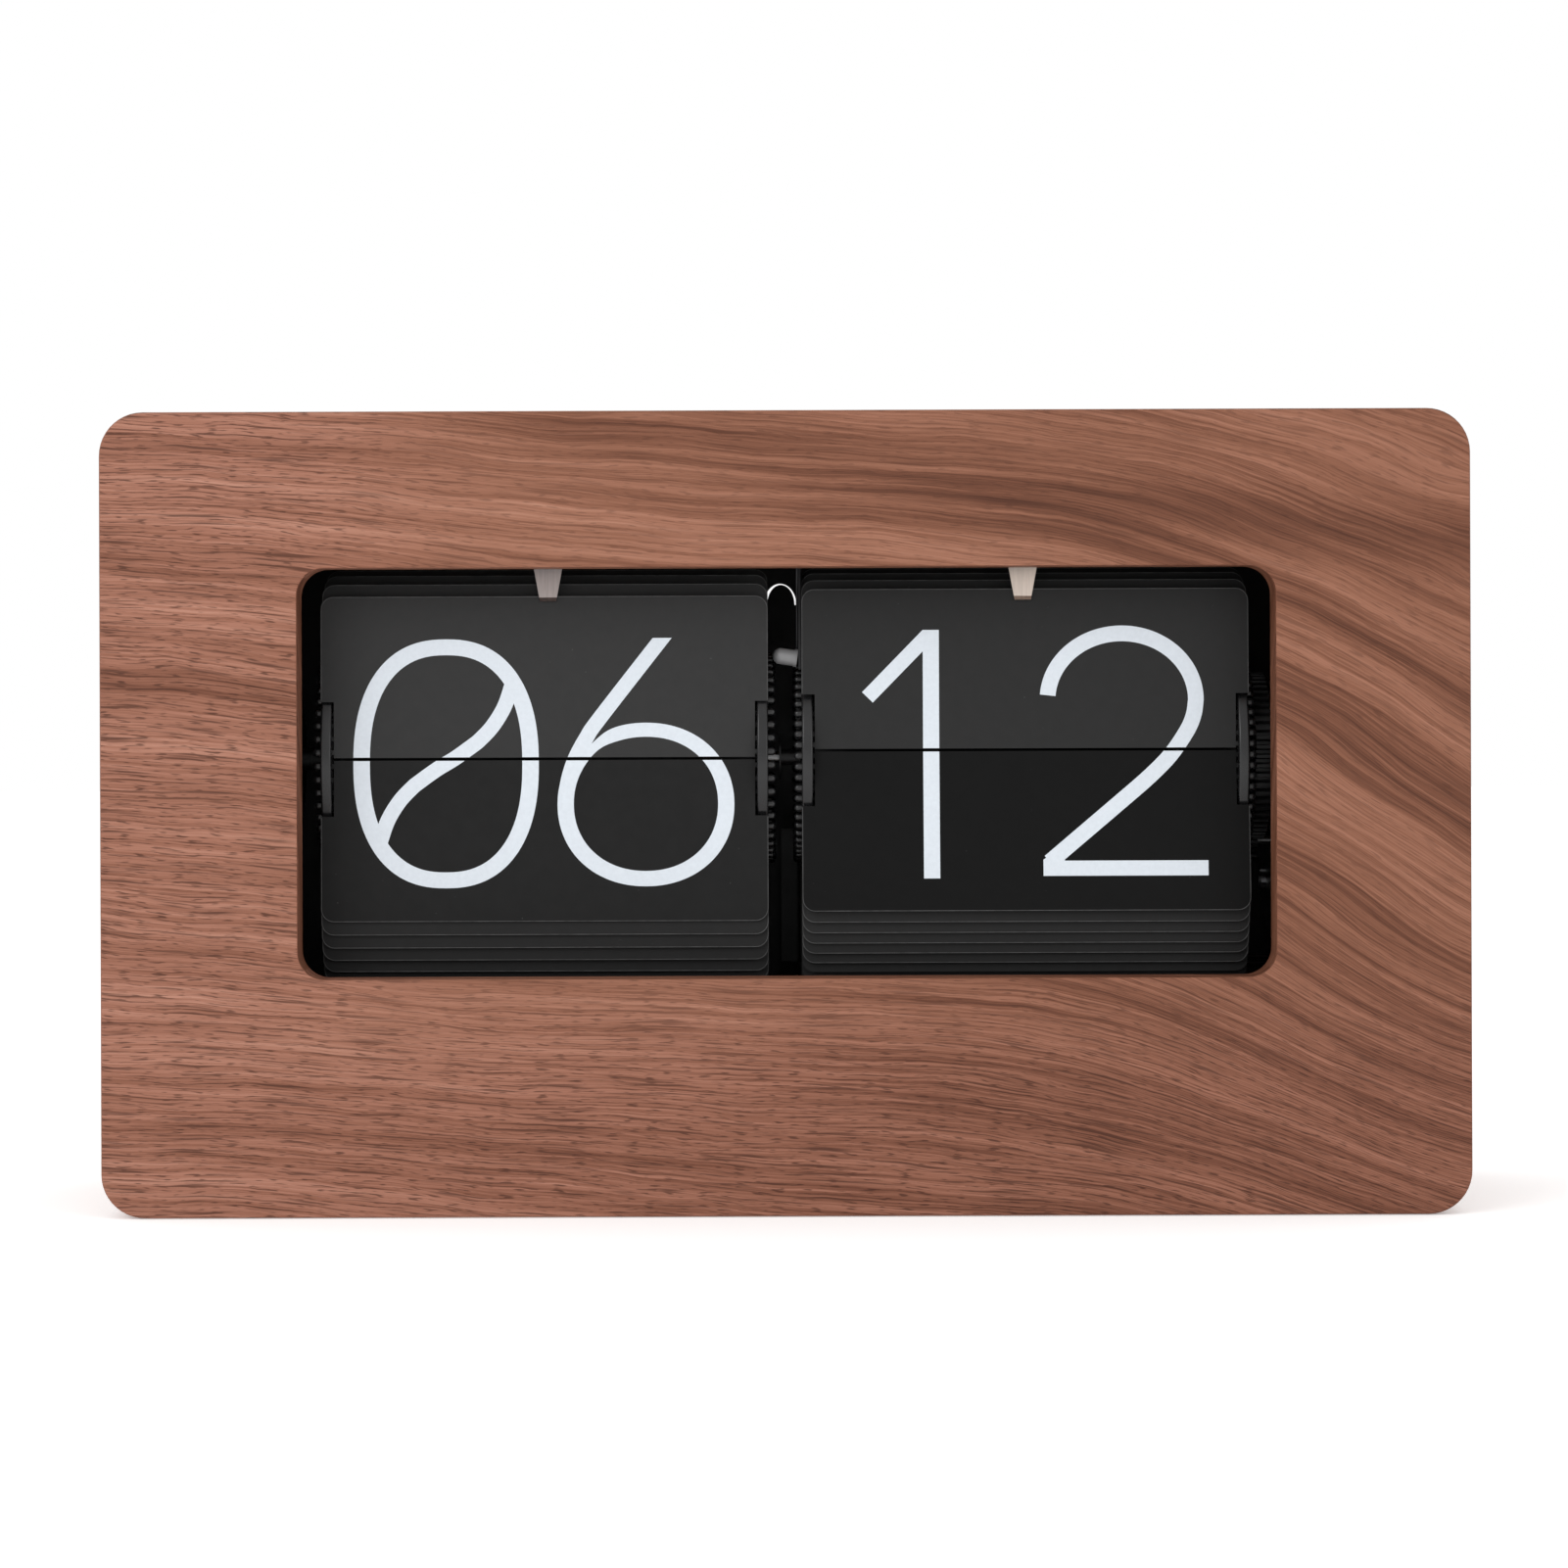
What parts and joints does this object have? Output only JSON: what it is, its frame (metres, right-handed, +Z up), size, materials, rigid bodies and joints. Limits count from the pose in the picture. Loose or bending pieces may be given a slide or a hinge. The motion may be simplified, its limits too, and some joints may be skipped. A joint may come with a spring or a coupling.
{
  "type": "flip number clock",
  "caption": "Wooden-cased flip number clock: two leaf drums on one axle behind a rounded window, hour left, minute right.",
  "frame": {"origin": "centre of the case footprint, on the surface it stands on", "axes": "+X to the right seen from the front, front face towards -Y, +Z up"},
  "size_m": [0.36, 0.105, 0.2116],
  "materials": {
    "walnut_veneer": "satin",
    "pine_blocks": "matte",
    "black_plastic": "matte",
    "grey_plastic": "satin",
    "steel": "brushed",
    "brass": "satin",
    "leaf_plastic": "matte",
    "lamp_body": "frosted",
    "copper_coil": "satin",
    "cell_wrap": "gloss",
    "wire_sleeve": "satin"
  },
  "bodies": {
    "clock_case": {"axle_bushings": "brass", "back_cover": "black_plastic", "battery": "cell_wrap", "battery_box": "black_plastic", "battery_contacts": "steel", "battery_wires": "wire_sleeve", "case_shell": "walnut_veneer", "centre_post": "black_plastic", "chassis_base": "steel", "chassis_screws": "steel", "clip_rail": "steel", "corner_blocks": "pine_blocks", "cover_screws": "steel", "door_hinge_pin": "steel", "front_panel": "walnut_veneer", "hour_clip": "steel", "hour_lower_leaf": "leaf_plastic", "hour_lower_stack": "leaf_plastic", "hour_upper_stack": "leaf_plastic", "lamp": "lamp_body", "lamp_bracket": "steel", "lamp_leads": "wire_sleeve", "left_end_plate": "steel", "minute_clip": "steel", "minute_lower_leaf": "leaf_plastic", "minute_lower_stack": "leaf_plastic", "minute_upper_stack": "leaf_plastic", "motor_coil": "copper_coil", "motor_cover": "black_plastic", "motor_housing": "black_plastic", "motor_screws": "steel", "rail_screws": "steel", "retaining_rings": "steel", "right_end_plate": "steel", "wheel_studs": "steel"},
    "minute_drum": {"main_axle": "steel", "minute_drum_core": "black_plastic", "minute_flange_inner": "grey_plastic", "minute_flange_outer": "grey_plastic", "minute_gear": "black_plastic", "axle_pinion": "black_plastic", "axle_collars": "brass"},
    "hour_drum": {"hour_drum_core": "black_plastic", "hour_flange_inner": "grey_plastic", "hour_flange_outer": "grey_plastic", "hour_gear": "black_plastic"},
    "lay_wheel": {"lay_gear": "black_plastic"},
    "setting_wheel": {"set_wheel": "black_plastic"},
    "motor_output": {"motor_pinion": "black_plastic", "motor_shaft": "steel"},
    "minute_leaf": {"minute_flip_leaf": "leaf_plastic"},
    "hour_leaf": {"hour_flip_leaf": "leaf_plastic"},
    "door": {"battery_door": "black_plastic"}
  },
  "joints": [
    {"name": "minute_drum_turn", "type": "hinge", "parent": "clock_case", "child": "minute_drum", "pos_m": [0, -0.0047, 0.12], "axis": [1, 0, 0], "continuous": true},
    {"name": "hour_drum_turn", "type": "hinge", "parent": "clock_case", "child": "hour_drum", "pos_m": [0, -0.0047, 0.12], "axis": [1, 0, 0], "continuous": true},
    {"name": "lay_gear_turn", "type": "hinge", "parent": "clock_case", "child": "lay_wheel", "pos_m": [0, 0.0163, 0.12], "axis": [1, 0, 0], "continuous": true},
    {"name": "set_wheel_turn", "type": "hinge", "parent": "clock_case", "child": "setting_wheel", "pos_m": [0, 0.0337, 0.12], "axis": [1, 0, 0], "continuous": true},
    {"name": "motor_pinion_turn", "type": "hinge", "parent": "clock_case", "child": "motor_output", "pos_m": [0, 0.0089, 0.09644], "axis": [1, 0, 0], "continuous": true},
    {"name": "minute_leaf_flip", "type": "hinge", "parent": "clock_case", "child": "minute_leaf", "pos_m": [0, -0.03227, 0.12355], "axis": [1, 0, 0], "range_deg": [0, 169]},
    {"name": "hour_leaf_flip", "type": "hinge", "parent": "clock_case", "child": "hour_leaf", "pos_m": [0, -0.03244, 0.12189], "axis": [1, 0, 0], "range_deg": [0, 170]},
    {"name": "battery_door_swing", "type": "hinge", "parent": "clock_case", "child": "door", "pos_m": [0.085, 0.0514, 0.0152], "axis": [-1, 0, 0], "range_deg": [0, 100]}
  ],
  "couplings": [
    {"joint": "hour_drum_turn", "follows": "minute_drum_turn", "ratio": 0.041667},
    {"joint": "lay_gear_turn", "follows": "minute_drum_turn", "ratio": -0.25},
    {"joint": "set_wheel_turn", "follows": "minute_drum_turn", "ratio": -1.4},
    {"joint": "motor_pinion_turn", "follows": "minute_drum_turn", "ratio": -4.6667}
  ]
}
